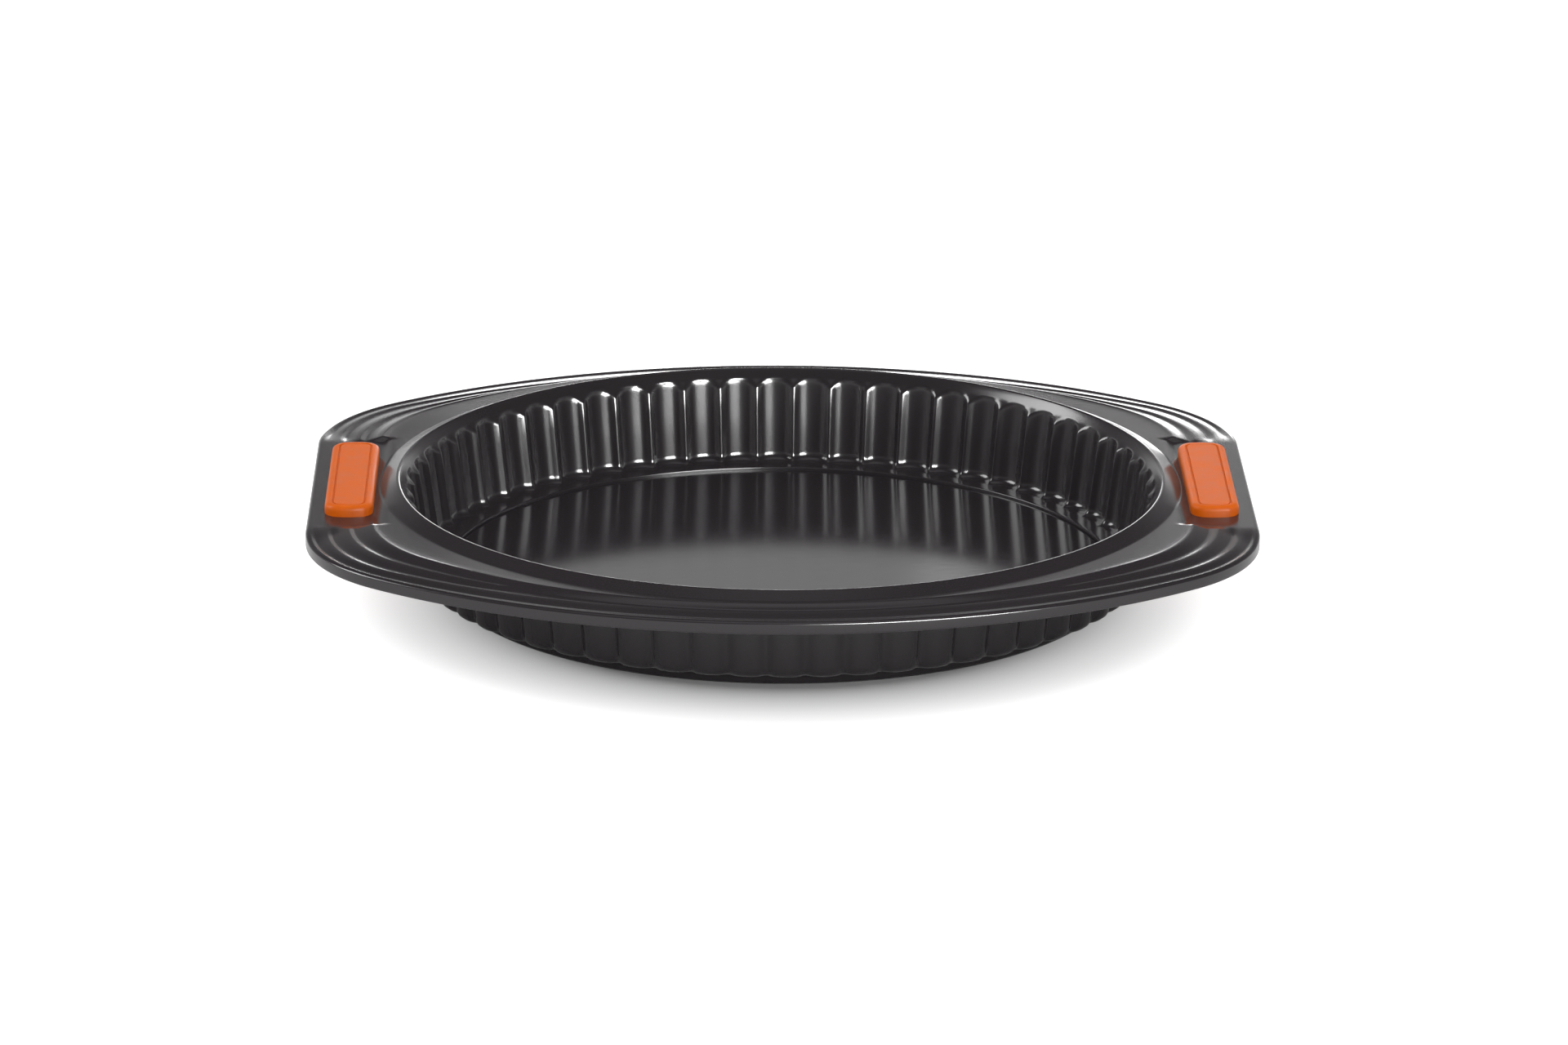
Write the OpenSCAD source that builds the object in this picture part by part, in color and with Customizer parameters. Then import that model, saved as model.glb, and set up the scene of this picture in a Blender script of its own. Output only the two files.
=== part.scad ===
// Fluted quiche tin with a lift-out base and two soft grips, in millimetres.
// The origin is on the table under the middle of the tin. The grips lie along X.

/* [Opening] */
// Diameter of the round opening, across the crest of its bead
opening_d = 280; // [240:1:300]
// Height of the bead's crest above the table
tin_h = 40.7; // [36:0.1:60]
// Thickness of the pressed sheet
sheet = 0.8; // [0.6:0.1:1]
// Width of the bead's outer slope
bead_w = 6.8; // [5.5:0.1:9]
// Drop from the crest to the flat ring round the bead
bead_drop = 2.7; // [1.8:0.1:3.4]
// Width of the smooth band between the flutes and the crest
band_w = 3; // [2.4:0.1:4]
// Height of the smooth band between the flutes and the crest
band_h = 3.4; // [2.6:0.1:4.2]

/* [Fluted wall] */
// Number of flutes round the wall
flute_count = 60; // [40:1:72]
// Depth of a flute
flute_depth = 3.2; // [1.6:0.1:3.8]
// Height of the round arch that ends a flute at the top
arch_h = 2.9; // [2:0.1:4]
// How far the wall leans outward between its foot and the band
wall_lean = 4; // [2:0.1:7]
// Radius of the fillet at the foot of the wall
fillet_r = 3.2; // [2:0.1:4]

/* [Ledge and foot] */
// Height of the ledge above the table
ledge_h = 6.1; // [5.6:0.1:9]
// Width of the ledge between the collar and the ribs of the wall
ledge_w = 4.7; // [3.5:0.1:8]
// Radius of the ledge's rounded inner edge
ledge_round = 1.3; // [1.2:0.1:2]
// Width of the lip that the base stands on
lip_w = 9.5; // [5:0.5:16]
// Radius of the foot's rounded outer edge
foot_round = 1.5; // [1:0.1:2]

/* [Loose base] */
// Height of the base, from the lip to its baking surface
base_h = 4.2; // [3:0.1:4.4]
// Gap round the base, inside the collar
base_gap = 0.5; // [0.3:0.1:1]
// Radius of the rounded edge of the base
base_round = 1.1; // [1.1:0.1:1.6]

/* [Flange] */
// Reach of each ear beyond the crest
ear_w = 31.3; // [29:0.1:38]
// Reach of the front and back of the flange beyond the crest
front_w = 21.5; // [17:0.1:26]
// Radius of the long front and back edges
front_r = 229; // [215:1:260]
// Radius of the four corners of the edge
corner_r = 70; // [55:1:80]
// Fall of the terraces from the flat ring to the edge
flange_fall = 3.6; // [2.4:0.1:4.2]
// Depth from the crest to the lower edge of the rim
rim_depth = 9.7; // [8.6:0.1:12]
// Width of the smooth rim outside the terraces
rim_w = 4.3; // [3:0.1:5.5]
// Radius of the rolled outer edge
rim_round = 1; // [0.6:0.1:1.4]
// Least width of the flat ring, beside the grips
ring_end_w = 0.7; // [0.4:0.1:2]
// Least width of the flat ring, at the front and back
ring_front_w = 0.3; // [0.2:0.1:1.5]

/* [Grip seats] */
// Depth of the flat seats below the crest
pad_drop = 4.1; // [3.6:0.1:5]
// Length of each flat seat
pad_l = 105.8; // [92:0.1:108]
// Width of the step at each end of a seat
step_w = 1.5; // [0.8:0.1:2.5]
// Distance over which the terraces fade in beside a seat
fade_l = 25; // [10:1:40]

/* [Grips] */
// Length of a grip
grip_l = 83; // [60:1:88]
// Width of a grip
grip_w = 17.5; // [14:0.1:18.5]
// How far a grip stands above its seat
grip_h = 4; // [2.5:0.1:6]
// Thickness of the grip's lip under the sheet
under_h = 2; // [1.2:0.1:3]
// Gap between the bead and a grip
grip_gap = 1; // [0.5:0.1:3]
// How far the grip's lips reach over the edge of their slot
grip_lap = 3; // [2:0.1:4]
// Gap round the grip's neck in its slot
slot_gap = 0.3; // [0.2:0.1:0.6]
// Radius of a grip's corners
grip_corner = 6.5; // [5:0.1:7.5]
// Radius of a grip's bowed ends
bow_r = 20; // [15:0.5:30]
// Width of the rounding along a grip's top edge
grip_edge = 1.2; // [0.6:0.1:1.8]
// Distance from a grip's side to its framing groove
groove_in = 2.8; // [2:0.1:3.4]
// Width of the framing groove
groove_w = 0.8; // [0.5:0.1:1.2]
// Depth of the framing groove
groove_deep = 0.5; // [0.3:0.1:0.8]

/* [Hidden] */

// Overrun of every cut
over = 1;
// Steps in a quarter of a small rounded edge
arc_steps = 5;

// Main levels and radii
open_r = opening_d / 2;
band_r = open_r - band_w;
band_z = tin_h - band_h;
arch_z = band_z - arch_h;
wall_z = ledge_h + fillet_r;
lobe_r = band_r - wall_lean;
foot_rib_r = lobe_r - fillet_r - flute_depth;
collar_in = foot_rib_r - ledge_w;
collar_out = collar_in + sheet;
lip_in = collar_in - lip_w;
ring_z = tin_h - bead_drop;
edge_z = ring_z - flange_fall;
rim_z = tin_h - rim_depth;
pad_z = tin_h - pad_drop;
pad_half = pad_l / 2;
bead_r = open_r + bead_w;
base_r = collar_in - base_gap;
base_z = sheet + base_h;

// Depth of a flute from its middle to its rib, at equal steps
flute_shares = [0, 0.11, 0.46, 1];
flute_steps = 2 * (len(flute_shares) - 1);
wall_points = flute_count * flute_steps;
function flute(i) =
    let (k = i % flute_steps)
    flute_depth * flute_shares[min(k, flute_steps - k)];

// Turns round the tin, in degrees: even ones for the wall, closer ones at the seats for the flange
wall_turns = [for (i = [0:wall_points - 1]) 360 * i / wall_points];
pad_turn = 18;
step_turn = 19;
quarter_turns = concat([0, 4, 8, 12, 15, pad_turn, step_turn, 21], [for (u = [24:3:45]) u],
    [for (u = [49:4:85]) u], [90]);
last = len(quarter_turns) - 1;
flange_turns = [for (q = [0:3]) for (k = [0:last - 1])
    q % 2 == 0 ? 90 * q + quarter_turns[k] : 90 * (q + 1) - quarter_turns[last - k]];

// Distance from the middle to a circle that lies at (x, y), along a ray at angle a
function ray_reach(a, x, y, r) = x * cos(a) + y * sin(a) + sqrt(r * r - pow(x * sin(a) - y * cos(a), 2));

// One quarter of an outline: a straight end at x, a corner of radius c and a front arc of radius r
// through y. The list adds the middle of the corner and the angles where the arcs meet.
function outline(x, y, r, c) =
    let (kx = x - c, low = y - r, ky = low + sqrt(max(0, pow(r - c, 2) - kx * kx)))
    kx == 0 ? [x, y, r, c, 0, 0, 0, 90]
    : [x, y, r, c, kx, ky, atan2(ky, x), atan2(low + (ky - low) * r / (r - c), kx * r / (r - c))];
function round_line(r) = outline(r, r, r, r);
function inset(o, d) = outline(o[0] - d, o[1] - d, o[2] - d, o[3] - d);
function reach(o, a) =
    a < o[6] ? o[0] / cos(a)
    : a > o[7] ? ray_reach(a, 0, o[1] - o[2], o[2])
    : ray_reach(a, o[4], o[5], o[3]);
function side_x(o, y) = y < o[5] ? o[0] : o[4] + sqrt(o[3] * o[3] - pow(y - o[5], 2));

// The place on an outline at a turn from 0 to 90: level with the seat, then fanned out from the middle
function quarter_place(o, u) =
    u <= pad_turn ? let (y = pad_half * u / pad_turn) [side_x(o, y), y]
    : let (y = pad_half + step_w, a0 = atan2(y, side_x(o, y)),
        a = a0 + (90 - a0) * (u - step_turn) / (90 - step_turn), d = reach(o, a))
        [d * cos(a), d * sin(a)];
function place(o, w) =
    let (u = w <= 90 ? w : w <= 180 ? 180 - w : w <= 270 ? w - 180 : 360 - w, p = quarter_place(o, u))
    [w <= 90 || w > 270 ? p[0] : -p[0], w <= 180 ? p[1] : -p[1]];

// Height at a distance y from the middle of an ear: the seat's level, then a rise or fall to z over l
function ease(t) = t * t * (3 - 2 * t);
function beside_pad(z_pad, z, l, y) =
    z_pad + (z - z_pad) * ease(min(1, max(0, abs(y) - pad_half) / l));

// The lines of the flange, from the flat ring to the outer edge
edge_line = outline(open_r + ear_w, open_r + front_w, front_r, corner_r);
ring_end = bead_r + ring_end_w;
ring_front = bead_r + ring_front_w;
nose_line = inset(edge_line, rim_w);
ridge_end_shares = [0, 0.4, 0.71];
ridge_front_shares = [0, 0.12, 0.22];
ridge_front_r_shares = [0.803, 0.895, 1.029];
ridge_corner_r_shares = [0.93, 0.857, 0.857];
ridge_lines = [for (k = [0:2]) outline(
    ring_end + (edge_line[0] - ring_end) * ridge_end_shares[k],
    ring_front + (edge_line[1] - ring_front) * ridge_front_shares[k],
    front_r * ridge_front_r_shares[k],
    corner_r * ridge_corner_r_shares[k])];
terrace_lines = concat(ridge_lines, [nose_line]);

// Fall of each ridge as a share of the fall to the edge, and where a terrace has fallen most of its step
ridge_fall_shares = [0.03, 0.28, 0.56, 0.89];
hollow_place_share = 0.45;
hollow_fall_share = 0.8;
// Distance over which each ridge fades in beside the seats, as a share of the longest
fade_shares = [0.06, 0.4, 0.8, 1];
function ridge_z(k) = ring_z - flange_fall * ridge_fall_shares[k];
function ridge_fade(k) = max(step_w, fade_l * fade_shares[k]);

// Rings of points. A flange ring follows an outline; a wall ring follows the flutes.
function flange_ring(o, z) = [for (w = flange_turns) let (p = place(o, w)) [p[0], p[1], z]];
function pad_ring(o, z_pad, z, l) =
    [for (w = flange_turns) let (p = place(o, w)) [p[0], p[1], beside_pad(z_pad, z, l, p[1])]];
function ridge_ring(k, drop) = pad_ring(terrace_lines[k], pad_z - drop, ridge_z(k) - drop, ridge_fade(k));
function hollow_ring(k, drop) =
    let (s = hollow_place_share, z = ridge_z(k) + (ridge_z(k + 1) - ridge_z(k)) * hollow_fall_share,
        l = (ridge_fade(k) + ridge_fade(k + 1)) / 2)
    [for (w = flange_turns)
        let (p = place(terrace_lines[k], w) * (1 - s) + place(terrace_lines[k + 1], w) * s)
        [p[0], p[1], beside_pad(pad_z - drop, z - drop, l, p[1])]];
function polar(r, w, z) = [r * cos(w), r * sin(w), z];
function wall_ring(r, z) = [for (i = [0:wall_points - 1]) polar(r - flute(i), wall_turns[i], z)];
function lean_r(z) = lobe_r + wall_lean * (z - wall_z) / (band_z - wall_z);
arch_mid_z = (arch_z + band_z) / 2;
arch_rib_r = lean_r(arch_z) - flute_depth;
arch_ring = [for (i = [0:wall_points - 1])
    polar(max((arch_rib_r + band_r) / 2, lean_r(arch_mid_z) - flute(i)), wall_turns[i], arch_mid_z)];
band_ring = [for (w = wall_turns) polar(band_r, w, band_z)];

// Shares that shape the rounded bead and the thickness of the sheet along it
bead_in_share = 0.42;
bead_rise_share = 0.7;
bead_out_share = 0.45;
bead_fall_share = 0.3;
turn_share = 1 - cos(45);

// The skin of the pressing, ring by ring: up the inside, over the bead, out to the edge and back below.
// Inside the ledge it is a plain block, which the turned cut opens.
inner_rings = [
    flange_ring(round_line(lip_in - over), -over),
    flange_ring(round_line(lip_in - over), ledge_h),
    wall_ring(lobe_r - fillet_r, ledge_h),
    wall_ring(lobe_r - fillet_r * turn_share, ledge_h + fillet_r * turn_share),
    wall_ring(lobe_r, wall_z),
    wall_ring(lean_r(arch_z), arch_z),
    arch_ring,
    band_ring];
bead_rings = [
    flange_ring(round_line(band_r + band_w * bead_in_share), band_z + band_h * bead_rise_share),
    flange_ring(round_line(open_r), tin_h),
    flange_ring(round_line(open_r + bead_w * bead_out_share), tin_h - bead_drop * bead_fall_share),
    pad_ring(round_line(bead_r), pad_z, ring_z, fade_l)];
terrace_rings = [for (k = [0:2]) each [ridge_ring(k, 0), hollow_ring(k, 0)]];
rim_rings = [
    ridge_ring(3, 0),
    pad_ring(inset(edge_line, rim_round), pad_z - rim_round / 4, edge_z, fade_l),
    pad_ring(edge_line, pad_z - rim_round, edge_z - rim_round, fade_l),
    flange_ring(edge_line, rim_z),
    flange_ring(inset(edge_line, sheet), rim_z),
    pad_ring(inset(edge_line, sheet), pad_z - rim_round - sheet, edge_z - rim_round - sheet, fade_l)];
under_rings = [
    hollow_ring(2, sheet),
    hollow_ring(1, sheet),
    ridge_ring(0, sheet),
    pad_ring(round_line(bead_r), pad_z - sheet, ring_z - sheet, fade_l),
    flange_ring(round_line(open_r), tin_h - sheet),
    flange_ring(round_line(band_r + sheet * bead_rise_share), band_z - sheet * bead_rise_share)];
outer_rings = [
    wall_ring(lean_r(arch_z) + sheet, arch_z - sheet / 2),
    wall_ring(lobe_r + sheet, wall_z),
    wall_ring(lobe_r - fillet_r + (fillet_r + sheet) * cos(45), wall_z - (fillet_r + sheet) * sin(45)),
    wall_ring(lobe_r - fillet_r, ledge_h - sheet)];
foot_rings = [
    flange_ring(round_line(collar_out), ledge_h - sheet),
    flange_ring(round_line(collar_out), foot_round),
    flange_ring(round_line(collar_out - foot_round - over), -over)];
rings = concat(inner_rings, bead_rings, terrace_rings, rim_rings, under_rings, outer_rings, foot_rings);

// Triangles between two neighbouring rings, also where one has more points than the other
starts = [for (k = 0, s = 0; k < len(rings); s = s + len(rings[k]), k = k + 1) s];
function turns_of(k) = len(rings[k]) == wall_points ? wall_turns : flange_turns;
function mids(t) = [for (i = [0:len(t) - 1]) (t[i] + (i + 1 < len(t) ? t[i + 1] : 360)) / 2];
function even_band(a, b, n) = [for (i = [0:n - 1]) let (j = (i + 1) % n)
    each [[a + i, a + j, b + j], [a + i, b + j, b + i]]];
function uneven_band(a, ta, b, tb) =
    let (na = len(ta), nb = len(tb), mid = mids(ta))
    concat(
        [for (i = [0:na - 1]) [a + i, a + (i + 1) % na, b + len([for (t = tb) if (t <= mid[i]) 1]) - 1]],
        [for (j = [0:nb - 1]) let (end = j + 1 < nb ? tb[j + 1] : 360)
            [a + len([for (m = mid) if (m < end) 1]) % na, b + (j + 1) % nb, b + j]]);
function band_faces(k, n) =
    len(rings[k]) == len(rings[n]) ? even_band(starts[k], starts[n], len(rings[k]))
    : uneven_band(starts[k], turns_of(k), starts[n], turns_of(n));

// Points of a quarter circle of radius r about (x, y), from angle a to angle b
function quarter(x, y, r, a, b) =
    [for (k = [0:arc_steps]) let (t = a + (b - a) * k / arc_steps) [x + r * cos(t), y + r * sin(t)]];

module pressed_skin() {
    polyhedron(
        points = [for (ring = rings) each ring],
        faces = [for (k = [0:len(rings) - 1]) each band_faces(k, (k + 1) % len(rings))]);
}

// The turned cut that leaves the collar, with its rounded edge, and the lip that the base stands on
module foot_cut() {
    rotate_extrude($fn = 180)
        polygon(concat(
            [[0, -2 * over], [lip_in, -2 * over], [lip_in, sheet], [collar_in, sheet]],
            quarter(collar_in + ledge_round, ledge_h - ledge_round, ledge_round, 180, 90),
            [[collar_in + ledge_round, ledge_h + over], [0, ledge_h + over]]));
    translate([0, 0, -2 * over])
        cylinder(2 * over, collar_out + over, collar_out + over, $fn = 180);
}

// A rectangle with round corners, centred on the origin
module round_plate(l, w, r) {
    square([w - 2 * r, l], center = true);
    square([w, l - 2 * r], center = true);
    for (x = [-1, 1]) {
        for (y = [-1, 1]) {
            translate([x * (w / 2 - r), y * (l / 2 - r)])
                circle(r, $fn = 48);
        }
    }
}

grip_x = bead_r + grip_gap + grip_w / 2;

// The outline of a grip drawn in by d: round corners and bowed ends
module grip_plate(d) {
    intersection() {
        round_plate(grip_l - 2 * d, grip_w - 2 * d, grip_corner - d);
        union() {
            square([grip_w, grip_l - 2 * bow_r], center = true);
            for (y = [-1, 1]) {
                translate([0, y * (grip_l / 2 - bow_r)])
                    circle(bow_r - d, $fn = 96);
            }
        }
    }
}

module grip_slot() {
    translate([grip_x, 0, pad_z - sheet - over])
        linear_extrude(sheet + 2 * over)
            grip_plate(grip_lap - slot_gap);
}

module tin_shell() {
    color([0.22, 0.21, 0.22])
        difference() {
            pressed_skin();
            foot_cut();
            grip_slot();
            mirror([1, 0, 0])
                grip_slot();
        }
}

module loose_base() {
    color([0.34, 0.32, 0.33])
        rotate_extrude($fn = 180)
            polygon(concat(
                [[0, base_z - sheet]],
                quarter(base_r - base_round, base_z - base_round, base_round - sheet, 90, 0),
                [[base_r - sheet, sheet], [base_r, sheet]],
                quarter(base_r - base_round, base_z - base_round, base_round, 0, 90),
                [[0, base_z]]));
}

// A grip on the positive X side: a cap above the sheet, a neck through it and a lip below
module grip() {
    translate([grip_x, 0, pad_z]) {
        difference() {
            union() {
                linear_extrude(grip_h - grip_edge)
                    grip_plate(0);
                translate([0, 0, grip_h - grip_edge])
                    linear_extrude(grip_edge, scale = [1 - 2 * grip_edge / grip_w, 1 - 2 * grip_edge / grip_l])
                        grip_plate(0);
            }
            translate([0, 0, grip_h - groove_deep])
                linear_extrude(groove_deep + over)
                    difference() {
                        grip_plate(groove_in);
                        grip_plate(groove_in + groove_w);
                    }
        }
        translate([0, 0, -sheet])
            linear_extrude(sheet)
                grip_plate(grip_lap);
        translate([0, 0, -sheet - under_h])
            linear_extrude(under_h)
                grip_plate(0);
    }
}

module right_grip() {
    color([0.93, 0.43, 0.12])
        grip();
}

module left_grip() {
    color([0.93, 0.43, 0.12])
        mirror([1, 0, 0])
            grip();
}

tin_shell();
loose_base();
left_grip();
right_grip();
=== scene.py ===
"""A fluted quiche tin with a lift-out base and two silicone grips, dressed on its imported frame."""

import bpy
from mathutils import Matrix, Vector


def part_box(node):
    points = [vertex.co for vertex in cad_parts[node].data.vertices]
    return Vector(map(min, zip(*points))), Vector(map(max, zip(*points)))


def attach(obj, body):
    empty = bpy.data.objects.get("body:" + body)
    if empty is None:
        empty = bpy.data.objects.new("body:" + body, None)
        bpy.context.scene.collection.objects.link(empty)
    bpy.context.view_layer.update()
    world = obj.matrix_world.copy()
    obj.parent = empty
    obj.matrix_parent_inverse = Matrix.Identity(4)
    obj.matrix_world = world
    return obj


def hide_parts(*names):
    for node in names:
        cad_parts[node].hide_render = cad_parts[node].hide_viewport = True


bl_info = {
    "name": "Quiche Tin",
    "version": (1, 0, 0),
    "blender": (4, 5, 0),
    "location": "3D View > Sidebar > Quiche Tin",
    "description": "Models the pressed shell, loose base and grips of a quiche tin, and its studio",
    "category": "Add Mesh",
}

import math

import bmesh
import bpy
import numpy as np
from bpy.props import FloatProperty, FloatVectorProperty, IntProperty, PointerProperty
from bpy.types import Operator, Panel, PropertyGroup
from mathutils import Matrix, Vector

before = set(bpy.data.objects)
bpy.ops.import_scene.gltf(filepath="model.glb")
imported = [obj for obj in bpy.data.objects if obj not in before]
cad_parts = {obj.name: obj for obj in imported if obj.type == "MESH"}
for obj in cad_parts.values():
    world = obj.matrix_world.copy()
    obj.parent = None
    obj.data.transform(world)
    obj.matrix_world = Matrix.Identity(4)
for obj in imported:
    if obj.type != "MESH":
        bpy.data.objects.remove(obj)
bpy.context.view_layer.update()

MM = 0.001
SHELL_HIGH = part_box("tin_shell")[1]
BASE_LOW, BASE_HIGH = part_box("loose_base")
GRIP_LOW, GRIP_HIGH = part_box("right_grip")
GRIP_X = (GRIP_LOW.x + GRIP_HIGH.x) / 2
GRIP_HALF_W, GRIP_HALF_L = (GRIP_HIGH.x - GRIP_LOW.x) / 2, (GRIP_HIGH.y - GRIP_LOW.y) / 2


def length(name, description, default, **more):
    """A property that holds a length, written here in millimetres."""
    return FloatProperty(name=name, description=description, default=default * MM, unit="LENGTH",
                         precision=5, **more)


def colour(name, description, default):
    """A property that holds a linear colour."""
    return FloatVectorProperty(name=name, description=description, default=default, size=3,
                               subtype="COLOR", min=0, max=1)


def share(name, description, default):
    """A property that holds a plain factor."""
    return FloatProperty(name=name, description=description, default=default)


class ShellSizes(PropertyGroup):
    """Sizes of the pressed shell that its box doesn't give."""
    open_r: length("Opening radius", "Radius of the opening at the bead's crest", 140)
    sheet: length("Sheet", "Thickness of the pressed sheet", 0.8)
    crest_round: length("Crest rounding", "Radius of the rounding inside the bead's crest", 1.0)
    bead_w: length("Bead width", "Width of the bead's outer slope", 6.8)
    bead_drop: length("Bead drop", "Drop from the crest to the flat ring", 2.7)
    band_w: length("Band width", "Width of the smooth band inside the crest", 3.0)
    band_h: length("Band height", "Height of the smooth band inside the crest", 3.4)
    flutes: IntProperty(name="Flutes", description="Number of flutes round the wall", default=60,
                        min=12)
    flute_steps: IntProperty(name="Steps in a flute", description="Points across one flute",
                             default=12, min=6)
    flute_depth: length("Flute depth", "Depth of a flute before its rib is rounded", 3.3)
    rib_round: length("Rib rounding", "Half width over which a rib is rounded", 1.8)
    groove_round: length("Groove rounding", "Half width over which a rib's outside is rounded", 2.8)
    arch_h: length("Arch height", "Height of the round arch at the top of a flute", 2.9)
    arch_blend: length("Arch blend", "Softness of the arch's edge", 0.35)
    wall_lean: length("Wall lean", "How far the wall leans outward", 4.0)
    fillet_r: length("Foot fillet", "Radius of the fillet at the foot of the wall", 3.2)
    ledge_h: length("Ledge height", "Height of the ledge above the table", 6.1)
    ledge_round: length("Ledge rounding", "Radius of the ledge's inner edge", 0.35)
    collar_gap: length("Base gap", "Gap between the loose base and the collar", 0.5)
    lip_w: length("Lip width", "Width of the lip under the base", 9.5)
    foot_round: length("Foot rounding", "Radius of the foot's outer edge", 1.5)


class FlangeSizes(PropertyGroup):
    """Sizes of the flange, its terraces and its ears."""
    front_r: length("Front radius", "Radius of the long front and back edges", 229)
    corner_r: length("Corner radius", "Radius of the four corners", 70)
    fall: length("Fall", "Depth below the ring that the ridges' falls are shares of", 3.6)
    rim_depth: length("Rim depth", "Depth from the crest to the rim's lower edge", 9.7)
    rim_w: length("Rim width", "Width of the rim's nose at the front and back", 1.7)
    rim_end_w: length("Rim width at the ears", "Width of the rim's nose beside the grips", 1.6)
    nose_h: length("Nose height", "Height over which the rim's nose turns upright", 1.0)
    ring_end_w: length("Ring width at the ears", "Width of the flat ring beside the grips", 0.7)
    ring_front_w: length("Ring width at the front", "Width of the flat ring at the front", 0.3)
    pad_drop: length("Seat depth", "Depth of the grip seats below the crest", 4.1)
    pad_l: length("Seat length", "Length of a grip seat", 105.1)
    step_w: length("Seat step", "Width of the step that ends a seat", 2.2)
    crest_rise: length("Ridge rise", "How far a ridge rises above the valley in front of it", 0.3)
    close_gap: length("Close ridges", "Gap between ridges below which they rise less", 4)
    fade_l: length("Fade", "Distance over which the outer terraces fade in", 25)
    sink_x: length("Sink start", "Distance from the middle where the ring starts to sink", 142.5)
    sink_w: length("Sink width", "Distance over which the ring sinks to a seat", 5.5)
    merge_x: length("Merge", "Distance from the middle where the second terrace has merged", 82)
    merge_l: length("Merge length", "Distance over which the second terrace merges", 34)
    roll_r: length("Roll radius", "Radius of the rim's tucked lower edge", 0.95)


class GripSizes(PropertyGroup):
    """Sizes of a grip that its box doesn't give."""
    corner_r: length("Corner radius", "Radius of a grip's corners", 6.5)
    bow_r: length("Bow radius", "Radius of a grip's bowed ends", 20)
    edge_round: length("Edge rounding", "Rounding along the top edge", 1.8)
    groove_in: length("Groove inset", "Distance from the side to the framing groove", 2.6)
    groove_w: length("Groove width", "Width of the framing groove", 0.8)
    groove_deep: length("Groove depth", "Depth of the framing groove", 0.45)
    lap: length("Lip lap", "How far the lips reach over the slot's edge", 3)
    slot_gap: length("Slot gap", "Gap between a grip's neck and its slot", 0.3)


class Finishes(PropertyGroup):
    """Colours and gloss of the coating and the silicone."""
    coating: colour("Coating", "Colour of the non-stick coating", (0.0190, 0.0162, 0.0182))
    base: colour("Base coating", "Colour of the loose base's coating", (0.0140, 0.0120, 0.0135))
    coating_rough: share("Coating roughness", "Roughness of the shell's coating", 0.18)
    base_rough: share("Base roughness", "Roughness of the loose base's coating", 0.12)
    silicone: colour("Silicone", "Colour of the grips", (0.61, 0.105, 0.001))
    silicone_rough: share("Silicone roughness", "Roughness of the grips", 0.42)


class StudioSettings(PropertyGroup):
    """The camera's place and lens."""
    target: FloatVectorProperty(name="Target", description="Point that the camera looks at",
                                default=(1.32 * MM, 0, 21.82 * MM), subtype="TRANSLATION")
    distance: length("Distance", "Distance from the target to the camera", 2800)
    elevation: FloatProperty(name="Elevation", description="Height angle of the camera",
                             default=0.30104, subtype="ANGLE")
    yaw: FloatProperty(name="Yaw", description="Turn of the camera about the tin",
                       default=-0.01778, subtype="ANGLE")
    roll: FloatProperty(name="Roll", description="Tilt of the camera", default=0.005569,
                        subtype="ANGLE")
    lens: FloatProperty(name="Lens", description="Focal length on a 36 mm sensor", default=175.38)


# Outlines of the flange

def outline(x, y, r, c):
    """A quarter outline: straight end at x, corner of radius c, front arc of radius r through y."""
    kx, low = x - c, y - r
    ky = low + math.sqrt(max(0.0, (r - c) ** 2 - kx ** 2))
    if abs(kx) < 1e-9:
        return dict(x=x, y=y, r=r, c=c, kx=0.0, ky=0.0, a1=0.0, a2=math.pi / 2)
    k = r / (r - c)
    return dict(x=x, y=y, r=r, c=c, kx=kx, ky=ky, a1=math.atan2(ky, x),
                a2=math.atan2(low + (ky - low) * k, kx * k))


def round_line(r):
    return outline(r, r, r, r)


def inset(o, d):
    """The outline at a distance d inside another."""
    return outline(o["x"] - d, o["y"] - d, o["r"] - d, o["c"] - d)


def ray_reach(a, x, y, r):
    """Distance from the middle to a circle about (x, y), along rays at the angles a."""
    across = x * np.sin(a) - y * np.cos(a)
    return x * np.cos(a) + y * np.sin(a) + np.sqrt(np.maximum(r * r - across ** 2, 0))


def reach(o, a):
    """Distance from the middle to an outline, along rays at the angles a."""
    end = o["x"] / np.maximum(np.cos(a), 1e-6)
    front = ray_reach(a, 0, o["y"] - o["r"], o["r"])
    corner = ray_reach(a, o["kx"], o["ky"], o["c"])
    return np.where(a < o["a1"], end, np.where(a > o["a2"], front, corner))


def side_x(o, y):
    """Where an outline's end or corner stands at y."""
    bend = o["kx"] + np.sqrt(np.maximum(o["c"] ** 2 - (y - o["ky"]) ** 2, 0))
    return np.where(y < o["ky"], o["x"], bend)


# Turns from the middle of an ear to the end of its seat, and of the step there
PAD_TURN, STEP_TURN = math.radians(18), math.radians(20.5)


def place(o, turns, pad_half, step_w):
    """Points on an outline for turns round the tin, level with the seats near the ears."""
    half = math.pi / 2
    fold = np.mod(turns, math.pi)
    u = np.where(fold <= half, fold, math.pi - fold)
    y_in = np.where(u <= PAD_TURN, pad_half * u / PAD_TURN,
                    pad_half + step_w * (u - PAD_TURN) / (STEP_TURN - PAD_TURN))
    y_end = pad_half + step_w
    a0 = math.atan2(y_end, float(side_x(o, np.array(y_end))))
    a = a0 + (half - a0) * (u - STEP_TURN) / (half - STEP_TURN)
    d = reach(o, a)
    x = np.where(u <= STEP_TURN, side_x(o, y_in), d * np.cos(a))
    y = np.where(u <= STEP_TURN, y_in, d * np.sin(a))
    return np.stack([x * np.where(np.cos(turns) < 0, -1, 1),
                     y * np.where(np.sin(turns) < 0, -1, 1)], axis=1)


def ease(t):
    """A smooth change from 0 to 1 as t goes from 0 to 1."""
    t = np.clip(t, 0, 1)
    return t * t * (3 - 2 * t)


FINE_STEPS = 400
FINE = np.linspace(0, 1, FINE_STEPS + 1)


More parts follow.
